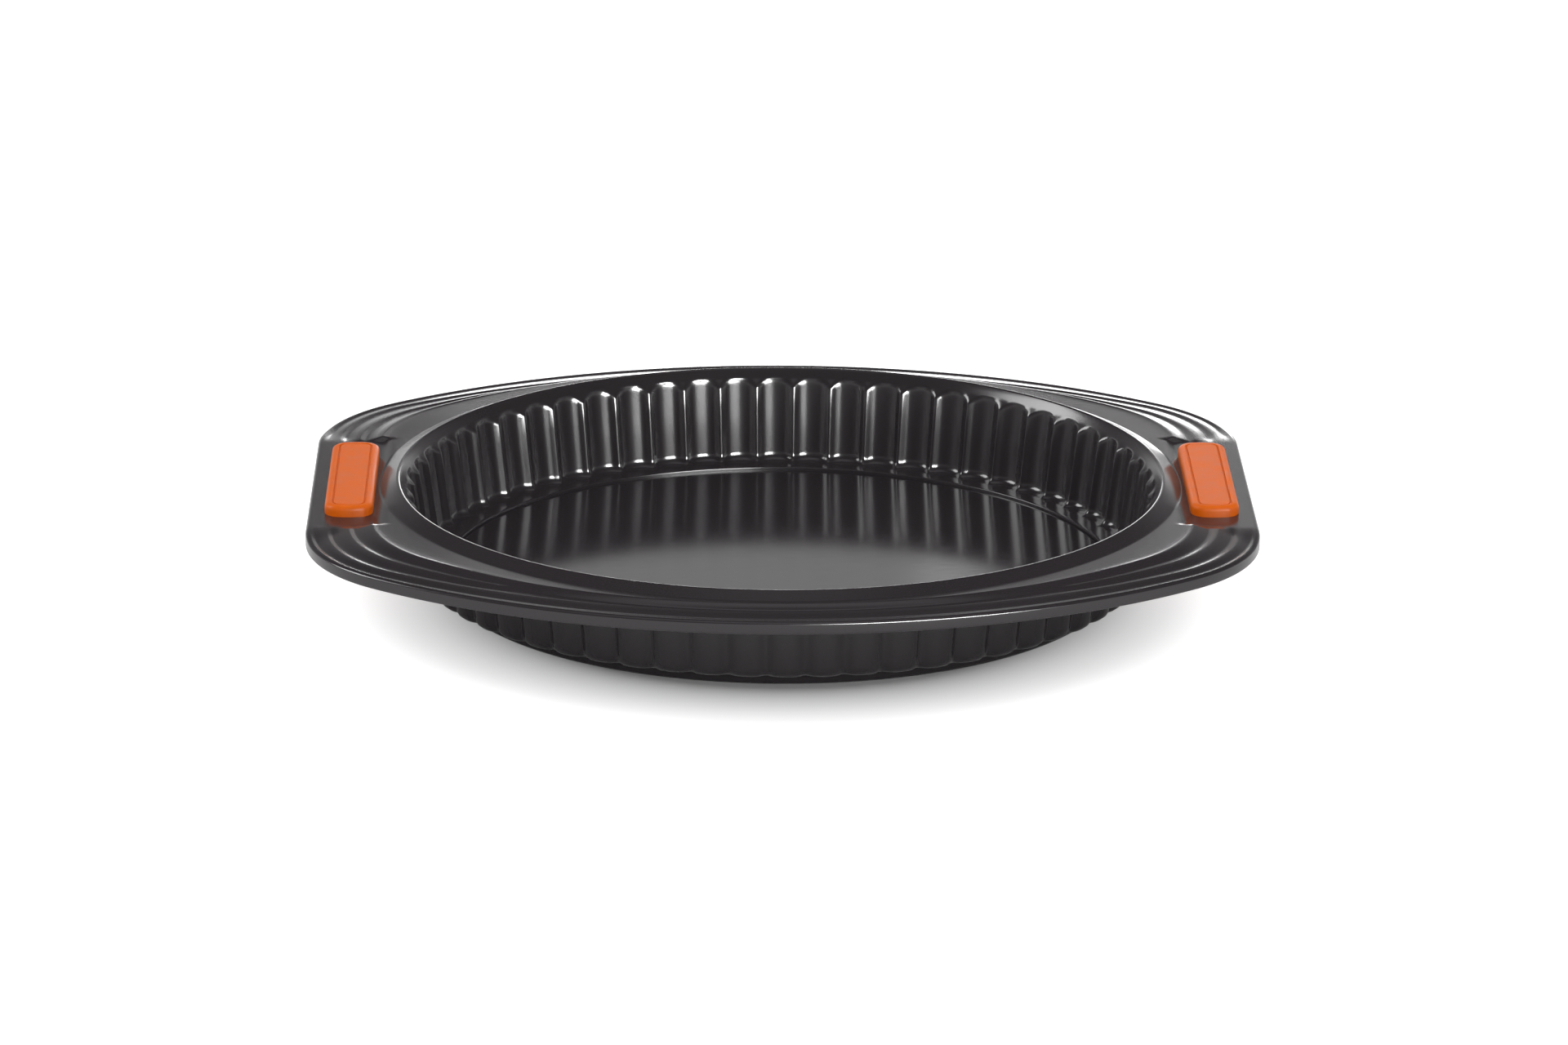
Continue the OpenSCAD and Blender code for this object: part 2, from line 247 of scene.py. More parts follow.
def fallen(slope, t):
    """Share of a fall that is done at a share t of its width, from its slope at fine steps."""
    total = np.concatenate([[0], np.cumsum((slope[1:] + slope[:-1]) / 2)])
    return np.interp(t, FINE, total / total[-1])


# Rings of points that make the shell's skin

# The first three ridges, as shares of the way from the bead to the edge, and of the edge's radii
RIDGE_END_SHARES = (0.0, 0.36, 0.67)
RIDGE_FRONT_SHARES = (0.0, 0.12, 0.22)
RIDGE_FRONT_R_SHARES = (0.803, 0.895, 1.029)
RIDGE_CORNER_R_SHARES = (0.93, 0.857, 0.857)

# How low the ridges and the rim's nose lie, and how far each takes to rise from a seat
RIDGE_FALL_SHARES = (0.0, 0.28, 0.5, 0.64)
FADE_SHARES, FADE_POWER = (0.088, 0.13, 0.55, 1.0), 1.5

# The ridge that merges away at the front, and the share of its neighbours' terrace before it
LOST_RIDGE, LOST_SHARE = 1, 0.5

# Shares of a terrace's width where its ramp is at full slope, eases off and ends, and is lowest
RAMP_TOP_SHARE, RAMP_SHARE, TREAD_SHARE, VALLEY_SHARE = 0.08, 0.55, 0.75, 0.73

# The first ridge's lip: its rise and width, and how late the flat ring turns up to it
LIP_RISE_SHARE, LIP_SHARE, RING_LIP_POWER = 1.1, 0.25, 12

# A flute's depth is part a plain hollow and part a flat one with steep sides
HOLLOW_PART, STEEP_PART, STEEP_POWER = 0.45, 0.55, 6

# Shares of the bead's width where it is at full slope and where its foot begins
BEAD_TOP_SHARE, BEAD_FOOT_SHARE = 0.07, 0.8

# Small bends at the collar, and the flat beside the ledge's edge
LEDGE_FLAT, LIP_BEND, COLLAR_BEND, COLLAR_BEND_MID = 1.2 * MM, 0.6 * MM, 0.8 * MM, 0.25 * MM

# Outside the arches, in sheets outward and down: where the lobes end, with the share left
LOBE_END_OUT, LOBE_END_DOWN, LOBE_END_SHARE, BAND_OUT = 0.6, 1.6, 0.25, 1.2

# How far the rim's cut edge stands in and up from the roll of its tuck
TUCK_IN, TUCK_UP = 0.15 * MM, 0.2 * MM

# The band's slope touches the crest's rounding, and is found in rounds from a first guess
FIRST_SLOPE, SLOPE_ROUNDS = math.radians(50), 30

# The least lean of the arches' tops, and where a soft blend is as good as sharp
ARCH_LEAN, BLEND_END = 0.1, 20

# Degrees of each bend at which a ring runs
EDGE_TURNS = (0, 22, 45, 68, 90)
LIP_TURNS = (0, 45, 90, 135, 180)
OUTER_FOOT_TURNS = (0, 25, 50, 72, 90)
INNER_FOOT_TURNS = (90, 72, 54, 36, 18, 0)
UNDER_NOSE_TURNS = (15, 50, 90)
NOSE_TURNS = (90, 82, 73, 62, 48, 32, 14)
TUCK_IN_TURNS, TUCK_OUT_TURNS = (45, 90), (90, 70, 50, 30, 15)

# Shares of each part's width or height at which a ring runs
UNDER_BEAD_SHARES = (0.25, 0.5, 0.75, 0.9, 1.0)
UNDER_TERRACE_SHARES = (0.0, 0.35, 0.7, 0.9)
TERRACE_SHARES = (1.0, 0.96, 0.91, 0.85, 0.79, 0.73, 0.62, 0.35, 0.08)
RING_SHARES = (0.98, 0.95, 0.9, 0.8, 0.65, 0.45, 0.25, 0.08)
BEAD_SHARES = (1.0, 0.95, 0.9, 0.84, 0.76, 0.5, 0.2, 0.1, 0.06, 0.03)
BAND_SHARES = (0.4, 0.8)
ARCH_SHARES = (0.0, 0.15, 0.3, 0.45, 0.6, 0.75, 0.9, 1.05, 1.2)
WALL_SHARES = (0.3, 0.65)
CREST_POINTS = 4


class Skin:
    """Works out the shell's rings, each a closed loop of points, from the sizes."""

    def __init__(self, s, f):
        self.s, self.f = s, f
        self.count = s.flutes * s.flute_steps
        index = np.arange(self.count)
        self.turns = 2 * math.pi * index / self.count
        across = np.mod(index + s.flute_steps // 2, s.flute_steps) / s.flute_steps * 2 - 1
        lobe = (index + s.flute_steps // 2) // s.flute_steps
        self.across = 0.5 * across + 0.5 * np.sin(across * math.pi / 2)
        self.wall_turns = (lobe + self.across / 2) * 2 * math.pi / s.flutes
        self.crest_z = SHELL_HIGH.z
        self.band_r = s.open_r - s.band_w
        self.band_z = self.crest_z - s.band_h
        self.arch_z = self.band_z - s.arch_h
        self.wall_z = s.ledge_h + s.fillet_r
        self.lobe_r = self.band_r - s.wall_lean
        self.collar_in = BASE_HIGH.x + s.collar_gap
        self.collar_out = self.collar_in + s.sheet
        self.ring_z = self.crest_z - s.bead_drop
        self.pad_z = self.crest_z - f.pad_drop
        self.rim_z = self.crest_z - f.rim_depth
        self.pad_half = f.pad_l / 2
        self.bead_r = s.open_r + s.bead_w
        self.flute = self.flute_profile(s.rib_round)
        self.flute_out = self.flute_profile(s.groove_round)
        self.edge = outline(SHELL_HIGH.x, SHELL_HIGH.y, f.front_r, f.corner_r)
        end, front = self.bead_r + f.ring_end_w, self.bead_r + f.ring_front_w
        self.ridges = [self.on(outline(end + (self.edge["x"] - end) * a,
                                       front + (self.edge["y"] - front) * b,
                                       f.front_r * c, f.corner_r * d))
                       for a, b, c, d in zip(RIDGE_END_SHARES, RIDGE_FRONT_SHARES,
                                             RIDGE_FRONT_R_SHARES, RIDGE_CORNER_R_SHARES)]
        self.edge_line = self.on(self.edge)
        rim_line = self.on(inset(self.edge, f.rim_w))
        narrow = self.beside_pad(self.edge_line, f.rim_end_w / f.rim_w, 1.0, f.fade_l)[:, None]
        self.ridges.append(self.edge_line + (rim_line - self.edge_line) * narrow)

    def on(self, line):
        """The points of an outline, one for each turn."""
        return place(line, self.turns, self.pad_half, self.f.step_w)

    def beside_pad(self, points, at_pad, away, over):
        """A value that is at_pad level with the seats, and goes to away over a distance."""
        t = (np.abs(points[:, 1]) - self.pad_half) / over
        return at_pad + (away - at_pad) * ease(t)

    def flute_profile(self, rib_round):
        """Depth of the flute at each point: a wide hollow, steep sides and a narrow round rib."""
        s = self.s
        pitch = 2 * math.pi * self.band_r / s.flutes
        fine = np.linspace(-1, 1, 2 * FINE_STEPS + 1)
        steep = s.flute_depth * (HOLLOW_PART * fine ** 2 + STEEP_PART * fine ** STEEP_POWER)
        width = max(1, int(round(rib_round / (pitch / 2) * FINE_STEPS)))
        kernel = np.hanning(2 * width + 3)[1:-1]
        kernel /= kernel.sum()
        ring = np.concatenate([steep[:-1]] * 3)
        smooth = np.convolve(ring, kernel, "same")[2 * FINE_STEPS:4 * FINE_STEPS + 1]
        smooth -= smooth.min()
        return np.interp(self.across, fine, smooth)

    def polar(self, r, z, turns=None):
        """A ring at a radius and a height."""
        turns = self.wall_turns if turns is None else turns
        one = np.ones(self.count)
        return np.stack([r * np.cos(turns) * one, r * np.sin(turns) * one, z * one], axis=1)

    def flat(self, points, z):
        """A ring through an outline's points at a height."""
        return np.column_stack([points, np.ones(self.count) * z])

    def lean_r(self, z):
        """Radius of the leaning wall's hollows at a height."""
        return self.lobe_r + self.s.wall_lean * (z - self.wall_z) / (self.band_z - self.wall_z)

    def ledge_rings(self):
        """Down from the ledge's edge, round the lip under the base, and up under the ledge."""
        s, rings = self.s, []
        mid_r = self.collar_in + s.ledge_round
        rings.append(self.polar(mid_r + LEDGE_FLAT, s.ledge_h))
        for a in np.radians(EDGE_TURNS):
            rings.append(self.polar(mid_r - s.ledge_round * math.sin(a),
                                    s.ledge_h - s.ledge_round * (1 - math.cos(a))))
        rings.append(self.polar(self.collar_in, s.sheet + LIP_BEND))
        rings.append(self.polar(self.collar_in - LIP_BEND, s.sheet))
        lip_in, half = self.collar_in - s.lip_w, s.sheet / 2
        for a in np.radians(LIP_TURNS):
            rings.append(self.polar(lip_in + half - half * math.sin(a), half + half * math.cos(a)))
        low_r = self.collar_out - s.foot_round
        for a in np.radians(EDGE_TURNS):
            rings.append(self.polar(low_r + s.foot_round * math.sin(a),
                                    s.foot_round * (1 - math.cos(a))))
        for out, down in ((0, COLLAR_BEND), (COLLAR_BEND_MID, COLLAR_BEND_MID), (COLLAR_BEND, 0)):
            rings.append(self.polar(self.collar_out + out, s.ledge_h - s.sheet - down))
        return rings

    def outer_wall_rings(self):
        """The outside of the fluted wall, from its foot up to the underside of the bead."""
        s, rings = self.s, []
        big = s.fillet_r + s.sheet
        for a in np.radians(OUTER_FOOT_TURNS):
            rings.append(self.polar(self.lobe_r - s.fillet_r + big * math.sin(a) - self.flute_out,
                                    self.wall_z - big * math.cos(a)))
        for z in ((self.wall_z + self.arch_z) / 2, self.arch_z - s.sheet / 2):
            rings.append(self.polar(self.lean_r(z) + s.sheet - self.flute_out, z))
        rings.append(self.polar(
            self.band_r + LOBE_END_OUT * s.sheet - self.flute_out * LOBE_END_SHARE,
            self.band_z - LOBE_END_DOWN * s.sheet))
        rings.append(self.polar(self.band_r + BAND_OUT * s.sheet, self.band_z))
        return rings

    def bead_fall(self, q):
        """Share of the bead's drop at a share q of its width: round, straight, then soft."""
        foot = (FINE - BEAD_FOOT_SHARE) / (1 - BEAD_FOOT_SHARE)
        return fallen(ease(FINE / BEAD_TOP_SHARE) * (1 - ease(foot)), q)

    def bead_point(self, q, lower):
        """A ring at a share q of the bead's width, lowered by a distance."""
        points = self.on(round_line(self.s.open_r + self.s.bead_w * q))
        foot_z = self.ring_height(self.on(round_line(self.bead_r)))
        return self.flat(points,
                         self.crest_z - (self.crest_z - foot_z) * self.bead_fall(q) - lower)

    def ring_height(self, points):
        """Height of the flat ring, which sinks to the seats only close to the grips."""
        sunk = ease((np.abs(points[:, 0]) - self.f.sink_x) / self.f.sink_w)
        sunk = sunk * self.beside_pad(points, 1, 0, self.f.step_w)
        return self.ring_z - (self.ring_z - self.pad_z) * sunk

    def ring_point(self, t, lower):
        """A ring at a share t of the way from the bead's foot to the first ridge."""
        points = self.on(round_line(self.bead_r)) * (1 - t) + self.ridges[0] * t
        edge = self.terrace_point(0, 0.0, 0)[:, 2] - self.ring_height(self.ridges[0])
        return self.flat(points, self.ring_height(points) + edge * t ** RING_LIP_POWER - lower)

    def hollow(self, a, b, t):
        """Height at a share t from ridge a to ridge b: a ramp, a shallow valley and a low crest."""
        z0, z1 = (self.ring_z - self.f.fall * RIDGE_FALL_SHARES[j] for j in (a, b))
        tread = (FINE - RAMP_SHARE) / (TREAD_SHARE - RAMP_SHARE)
        ramp = fallen(ease(FINE / RAMP_TOP_SHARE) * (1 - ease(tread)), t)
        sinks = ease((t - RAMP_SHARE / 2) / (VALLEY_SHARE - RAMP_SHARE / 2))
        rises = ease((t - VALLEY_SHARE) / (1 - VALLEY_SHARE))
        return z0 + (z1 - z0) * ramp - self.crest_rise(a, b) * sinks * (1 - rises)

    def crest_rise(self, a, b):
        """How far ridge b rises above the valley in front of it: less where ridges run close."""
        gap = np.linalg.norm(self.ridges[b] - self.ridges[a], axis=1)
        return self.f.crest_rise * ease(gap / self.f.close_gap)

    def lip(self):
        """How far the first ridge rises above the flat ring: less where the ring is narrow."""
        width = np.linalg.norm(self.ridges[0] - self.on(round_line(self.bead_r)), axis=1)
        return LIP_RISE_SHARE * self.f.crest_rise * ease(width / (2 * self.f.close_gap))

    def terrace_point(self, k, t, lower):
        """A ring at a share t of the way from ridge k to the next, lowered by a distance."""
        points = self.ridges[k] * (1 - t) + self.ridges[k + 1] * t
        z = self.hollow(k, k + 1, t)
        if k == 0:
            z = z + self.lip() * (1 - ease(t / LIP_SHARE))
        if k in (LOST_RIDGE - 1, LOST_RIDGE):
            merged = self.hollow(LOST_RIDGE - 1, LOST_RIDGE + 1,
                                 t * LOST_SHARE + (k == LOST_RIDGE) * LOST_SHARE)
            apart = ease((np.abs(points[:, 0]) - self.f.merge_x) / self.f.merge_l)
            z = merged + (z - merged) * apart
        fade = FADE_SHARES[k] + (FADE_SHARES[k + 1] - FADE_SHARES[k]) * t ** FADE_POWER
        return self.flat(points,
                         self.beside_pad(points, self.pad_z, z, fade * self.f.fade_l) - lower)

    def rim_point(self, a, side):
        """The rim's nose at an angle a of its turn, and at a distance side under its face."""
        nose = self.terrace_point(2, 1.0, 0)
        span = self.edge_line - self.ridges[3]
        away = span / np.maximum(np.linalg.norm(span, axis=1, keepdims=True), 1e-9)
        z = nose[:, 2] - self.f.nose_h * (1 - math.cos(a)) - side * math.cos(a)
        return self.flat(self.ridges[3] + span * math.sin(a) - away * side * math.sin(a), z)

    def rim_foot(self, side):
        """The foot of the rim's upright side, above its tucked edge."""
        foot = self.rim_point(math.pi / 2, side)
        foot[:, 2] = self.rim_z + self.f.roll_r
        return foot

    def under_rings(self):
        """The underside of the bead and flange, from the wall out to the rim."""
        s = self.s
        rings = [self.flat(self.on(round_line(s.open_r)), self.crest_z - s.sheet)]
        rings += [self.bead_point(q, s.sheet) for q in UNDER_BEAD_SHARES]
        rings += [self.terrace_point(k, t, s.sheet) for k in range(3) for t in UNDER_TERRACE_SHARES]
        rings += [self.rim_point(a, s.sheet) for a in np.radians(UNDER_NOSE_TURNS)]
        return rings + [self.rim_foot(s.sheet)]

    def rim_rings(self):
        """Round the rim's tucked lower edge and up its outside to the nose."""
        out, rings = self.rim_foot(0), []
        away = self.rim_foot(MM) - out
        r, sheet = self.f.roll_r, self.s.sheet
        tuck = [(sheet + (r - sheet) * (1 - math.cos(a)), (r - sheet) * math.sin(a))
                for a in np.radians(TUCK_IN_TURNS)]
        tuck += [(r + TUCK_IN, r - sheet + TUCK_UP), (r + TUCK_IN, r - TUCK_UP)]
        tuck += [(r * (1 - math.cos(a)), r * math.sin(a)) for a in np.radians(TUCK_OUT_TURNS)]
        for inward, down in tuck:
            ring = out + away * inward / MM
            ring[:, 2] = out[:, 2] - down
            rings.append(ring)
        return rings + [out] + [self.rim_point(a, 0) for a in np.radians(NOSE_TURNS)]

    def top_rings(self):
        """The terraces, the flat ring and the bead, from the rim in to the crest."""
        rings = [self.terrace_point(k, t, 0) for k in (2, 1, 0) for t in TERRACE_SHARES]
        rings += [self.ring_point(t, 0) for t in RING_SHARES]
        return rings + [self.bead_point(q, 0) for q in BEAD_SHARES]

    def inner_rings(self):
        """The crest's inside, the smooth band, the arches, the inner wall and its foot."""
        s, rings = self.s, []
        crest = self.on(round_line(s.open_r))
        crest_turns = np.unwrap(np.arctan2(crest[:, 1], crest[:, 0]))
        shift = (crest_turns - self.wall_turns + math.pi) % (2 * math.pi) - math.pi
        slope = FIRST_SLOPE
        for _ in range(SLOPE_ROUNDS):
            slope = math.atan2(s.band_h - s.crest_round * (1 - math.cos(slope)),
                               s.band_w - s.crest_round * math.sin(slope))
        profile = [(s.open_r - s.crest_round * math.sin(a),
                    self.crest_z - s.crest_round * (1 - math.cos(a)))
                   for a in np.linspace(0, slope, CREST_POINTS)]
        top_r, top_z = profile[-1]
        profile += [(top_r + (self.band_r - top_r) * t, top_z + (self.band_z - top_z) * t)
                    for t in BAND_SHARES]
        for k, (r, z) in enumerate(profile):
            rings.append(self.polar(r, z, self.wall_turns + shift * (1 - k / len(profile))))
        rib_r = self.lean_r(self.arch_z) - self.flute.max()
        for t in ARCH_SHARES:
            z = self.band_z - s.arch_h * t
            cone = self.band_r - (self.band_r - rib_r) * t
            wall = self.lean_r(z) - self.flute
            gap = (wall - cone) / s.arch_blend
            soft = np.log1p(np.exp(np.minimum(gap, BLEND_END)))
            r = cone + s.arch_blend * np.where(gap > BLEND_END, gap, soft)
            rings.append(self.polar(np.minimum(r, self.band_r + (z - self.band_z) * ARCH_LEAN), z))
        for t in WALL_SHARES:
            z = self.arch_z + (self.wall_z - self.arch_z) * t
            rings.append(self.polar(self.lean_r(z) - self.flute, z))
        for a in np.radians(INNER_FOOT_TURNS):
            rings.append(self.polar(self.lobe_r - s.fillet_r * (1 - math.sin(a)) - self.flute,
                                    self.wall_z - s.fillet_r * math.cos(a)))
        return rings

    def rings(self):
        return (self.ledge_rings() + self.outer_wall_rings() + self.under_rings() + self.rim_rings()
                + self.top_rings() + self.inner_rings())


def skin_mesh(name, rings):
    """A closed mesh through a list of rings, the last joined to the first."""
    count, total = len(rings[0]), len(rings)
    index = np.arange(count)
    nxt = (index + 1) % count
    faces = []
    for k in range(total):
        a, b = k * count, ((k + 1) % total) * count
        faces += np.stack([a + index, a + nxt, b + nxt, b + index], axis=1).tolist()
    mesh = bpy.data.meshes.new(name)
    mesh.from_pydata(np.concatenate(rings).tolist(), [], faces)
    mesh.validate()
    piece = bpy.data.objects.new(name, mesh)
    bpy.context.scene.collection.objects.link(piece)
    return piece


# Helpers for modelling with operators

def deselect_all():
    if bpy.context.object and bpy.context.object.mode != "OBJECT":
        bpy.ops.object.mode_set(mode="OBJECT")
    bpy.ops.object.select_all(action="DESELECT")


def make_active(piece):
    deselect_all()
    bpy.context.view_layer.objects.active = piece
    piece.select_set(True)


def select_where(piece, kind, test):
    """In edit mode, selects the faces or edges for which test is true."""
    bpy.ops.mesh.select_mode(type="FACE" if kind == "faces" else "EDGE")
    bpy.ops.mesh.select_all(action="DESELECT")
    mesh = bmesh.from_edit_mesh(piece.data)
    for item in getattr(mesh, kind):
        if test(item):
            item.select_set(True)
    mesh.select_flush_mode()
    bmesh.update_edit_mesh(piece.data)


def apply_modifier(piece, kind, **settings):
    make_active(piece)
    modifier = piece.modifiers.new(kind.title(), kind)
    for key, value in settings.items():
        setattr(modifier, key, value)
    bpy.ops.object.modifier_apply(modifier=modifier.name)


def settle(piece, body, slot, material, *nodes):
    """Applies a piece's place, gives it its body and material, and hides its nodes' imported parts;
    the slot is not used.
    """
    make_active(piece)
    bpy.ops.object.transform_apply(location=True, rotation=True, scale=True)
    piece.data.materials.clear()
    piece.data.materials.append(material)
    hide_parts(*nodes)
    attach(piece, body)
    deselect_all()


# Materials

def new_material(name, base, roughness):
    material = bpy.data.materials.new(name)
    material.use_nodes = True
    nodes, links = material.node_tree.nodes, material.node_tree.links
    shader = nodes["Principled BSDF"]
    shader.inputs["Base Color"].default_value = (*base, 1)
    shader.inputs["Roughness"].default_value = roughness
    return material, nodes, links, shader


def add_node(nodes, kind, inputs=None, **settings):
    node = nodes.new(kind)
    for key, value in settings.items():
        setattr(node, key, value)
    for key, value in (inputs or {}).items():
        node.inputs[key].default_value = value
    return node


def clear_nodes(holder):
    """The emptied nodes and links of a material or a world."""
    holder.use_nodes = True
    nodes, links = holder.node_tree.nodes, holder.node_tree.links
    nodes.clear()
    return nodes, links


def add_ramp(nodes, stops):
    """A ramp of greys through (position, level) stops."""
    ramp = add_node(nodes, "ShaderNodeValToRGB")
    elements = ramp.color_ramp.elements
    while len(elements) < len(stops):
        elements.new(0.5)
    for element, (position, level) in zip(elements, stops):
        element.position, element.color = position, (level, level, level, 1)
    return ramp


def object_points(nodes, links, scale=(1, 1, 1)):
    """Object coordinates, stretched by a scale."""
    where = add_node(nodes, "ShaderNodeTexCoord")
    mapping = add_node(nodes, "ShaderNodeMapping", {"Scale": scale})
    links.new(where.outputs["Object"], mapping.inputs["Vector"])
    return mapping.outputs["Vector"]


def noise(nodes, links, points, scale, detail, roughness=0.5):
    node = add_node(nodes, "ShaderNodeTexNoise",
                    {"Scale": scale, "Detail": detail, "Roughness": roughness})
    links.new(points, node.inputs["Vector"])
    return node.outputs["Fac"]


def spread(nodes, links, value, low, high, start=0.3, end=0.7):
    """Stretches a value from start..end to low..high."""
    node = add_node(nodes, "ShaderNodeMapRange",
                    {"From Min": start, "From Max": end, "To Min": low, "To Max": high})
    links.new(value, node.inputs["Value"])
    return node.outputs["Result"]


def bump(nodes, links, height, strength, distance, normal=None):
    node = add_node(nodes, "ShaderNodeBump", {"Strength": strength, "Distance": distance})
    links.new(height, node.inputs["Height"])
    if normal is not None:
        links.new(normal, node.inputs["Normal"])
    return node.outputs["Normal"]


def shaded(paint, factor):
    return [c * factor for c in paint]


def blend_paint(nodes, links, shader, value, first, second):
    """Gives the shader a colour from first to second, by a value from 0 to 1."""
    tone = add_node(nodes, "ShaderNodeMix", {"A": (*first, 1), "B": (*second, 1)}, data_type="RGBA")
    links.new(value, tone.inputs["Factor"])
    links.new(tone.outputs["Result"], shader.inputs["Base Color"])


def mix_shaders(nodes, links, value, first, second):
    """A shader that goes from first to second as the value goes from 0 to 1."""
    node = add_node(nodes, "ShaderNodeMixShader")
    for output, socket in zip((value, first, second), node.inputs):
        links.new(output, socket)
    return node.outputs["Shader"]


def coating_material(finish):
    """Sprayed non-stick: near black, satin, with a fine orange peel in the highlights."""
    paint, rough = finish.coating, finish.coating_rough
    material, nodes, links, shader = new_material("sprayed_coating", paint, rough)
    points = object_points(nodes, links)
    peel = noise(nodes, links, points, scale=2400, detail=2)
    patches = noise(nodes, links, points, scale=35, detail=3)
    links.new(spread(nodes, links, patches, low=rough * 0.93, high=rough * 1.1),
              shader.inputs["Roughness"])
    links.new(bump(nodes, links, peel, strength=0.4, distance=0.025 * MM), shader.inputs["Normal"])
    blend_paint(nodes, links, shader, peel, paint, shaded(paint, 1.3))
    return material


def base_material(finish):
    """The same coating over rolled sheet, whose fine grain runs across the tin."""
    paint, rough = finish.base, finish.base_rough
    material, nodes, links, shader = new_material("coated_rolled_sheet", paint, rough)
    grain = noise(nodes, links, object_points(nodes, links, scale=(90, 1300, 400)),
                  scale=1, detail=3, roughness=0.6)
    peel = noise(nodes, links, object_points(nodes, links), scale=1300, detail=2)
    links.new(spread(nodes, links, grain, low=rough * 0.85, high=rough * 1.25),
              shader.inputs["Roughness"])
    normal = bump(nodes, links, grain, strength=0.25, distance=0.01 * MM)
    normal = bump(nodes, links, peel, strength=0.2, distance=0.01 * MM, normal=normal)
    links.new(normal, shader.inputs["Normal"])
    blend_paint(nodes, links, shader, grain, paint, shaded(paint, 1.5))
    return material


def silicone_material(finish):
    """Moulded orange silicone: soft gloss, a little light under the surface, faint texture."""
    paint, rough = finish.silicone, finish.silicone_rough
    material, nodes, links, shader = new_material("moulded_silicone", paint, rough)
    shader.inputs["Specular IOR Level"].default_value = 0.08
    shader.inputs["Subsurface Weight"].default_value = 0.12
    shader.inputs["Subsurface Radius"].default_value = (1.0, 0.4, 0.15)
    shader.inputs["Subsurface Scale"].default_value = 1.2 * MM
    points = object_points(nodes, links)
    fine = noise(nodes, links, points, scale=2200, detail=2)
    soft = noise(nodes, links, points, scale=160, detail=3)
    links.new(spread(nodes, links, soft, low=rough * 0.85, high=rough * 1.15),
              shader.inputs["Roughness"])
    links.new(bump(nodes, links, fine, strength=0.25, distance=0.02 * MM), shader.inputs["Normal"])
    blend_paint(nodes, links, shader, spread(nodes, links, soft, low=0, high=1),
                shaded(paint, 0.88), paint)
    return material


# Operators, one for each piece

CUTTER_H = 30 * MM


class TIN_OT_shell(Operator):
    """Model the pressed shell: fluted wall, bead, terraced flange, rim, ledge and foot"""
    bl_idname = "tin.shell"
    bl_label = "Pressed shell"

    def execute(self, context):
        scene = context.scene
        piece = skin_mesh("pressed_shell",
                          Skin(scene.tin_shell_sizes, scene.tin_flange_sizes).rings())
        self.cut_slots(piece, scene.tin_grip_sizes)
        make_active(piece)
        bpy.ops.object.shade_smooth_by_angle(angle=math.radians(60))
        settle(piece, "tin", "shell_coating", coating_material(scene.tin_finishes), "tin_shell")
        return {"FINISHED"}

    def cut_slots(self, piece, g):
        """Cuts the slots of the ears, through which the grips are pushed."""
        points = grip_outline(g)
        lap = g.lap - g.slot_gap
        for side in (1, -1):
            deselect_all()
            bpy.ops.mesh.primitive_cylinder_add(
                vertices=len(points), radius=GRIP_HALF_W, depth=CUTTER_H,
                location=(side * GRIP_X, 0, SHELL_HIGH.z))
            cutter = bpy.context.object
            for vertex in cutter.data.vertices:
                x, y = points[vertex.index // 2]
                vertex.co.x, vertex.co.y = x * (1 - lap / GRIP_HALF_W), y * (1 - lap / GRIP_HALF_L)
            apply_modifier(piece, "BOOLEAN", object=cutter, operation="DIFFERENCE", solver="EXACT")
            bpy.data.objects.remove(cutter)


BASE_SIDES = 360
BASE_INSET = 0.8 * MM
BASE_EDGE_ROUND = 0.25 * MM
NEAR = 0.1 * MM


class TIN_OT_base(Operator):
    """Model the loose base: a flat disc with a rounded, turned-down edge"""
    bl_idname = "tin.base"
    bl_label = "Loose base"

    def execute(self, context):
        sizes = context.scene.tin_shell_sizes
        deselect_all()
        radius, top = BASE_HIGH.x, BASE_HIGH.z
        bpy.ops.mesh.primitive_circle_add(vertices=BASE_SIDES, radius=radius, fill_type="NGON",
                                          location=(0, 0, top))
        piece = context.object
        piece.name = piece.data.name = "lift_out_base"
        bpy.ops.object.mode_set(mode="EDIT")
        bpy.ops.mesh.select_all(action="SELECT")
        bpy.ops.mesh.inset(thickness=BASE_INSET)
        select_where(piece, "edges", lambda e: e.is_boundary)
        bpy.ops.mesh.extrude_edges_move(
            TRANSFORM_OT_translate={"value": (0, 0, BASE_LOW.z - top)})
        select_where(piece, "edges", lambda e: not e.is_boundary and all(
            abs(v.co.xy.length - radius) < NEAR and abs(v.co.z) < NEAR for v in e.verts))
        bpy.ops.mesh.bevel(offset=BASE_EDGE_ROUND, segments=4, profile=0.5, affect="EDGES")
        bpy.ops.mesh.select_all(action="SELECT")
        bpy.ops.mesh.normals_make_consistent(inside=False)
        bpy.ops.object.mode_set(mode="OBJECT")
        if piece.data.polygons[0].normal.z < 0:
            piece.data.flip_normals()
        apply_modifier(piece, "SOLIDIFY", thickness=sizes.sheet, offset=-1)
        bpy.ops.object.shade_smooth_by_angle(angle=math.radians(35))
        settle(piece, "base", "base_coating", base_material(context.scene.tin_finishes),
               "loose_base")
        return {"FINISHED"}


SIDE_SHARES, END_SHARES = (0.0, 0.25, 0.5, 0.75), (0.8, 0.6, 0.4, 0.2, 0.0)
CORNER_POINTS = 13
GROOVE_SIDE = 0.2 * MM
PANEL_RISE_SHARE = 0.9
LEVEL = 0.01 * MM


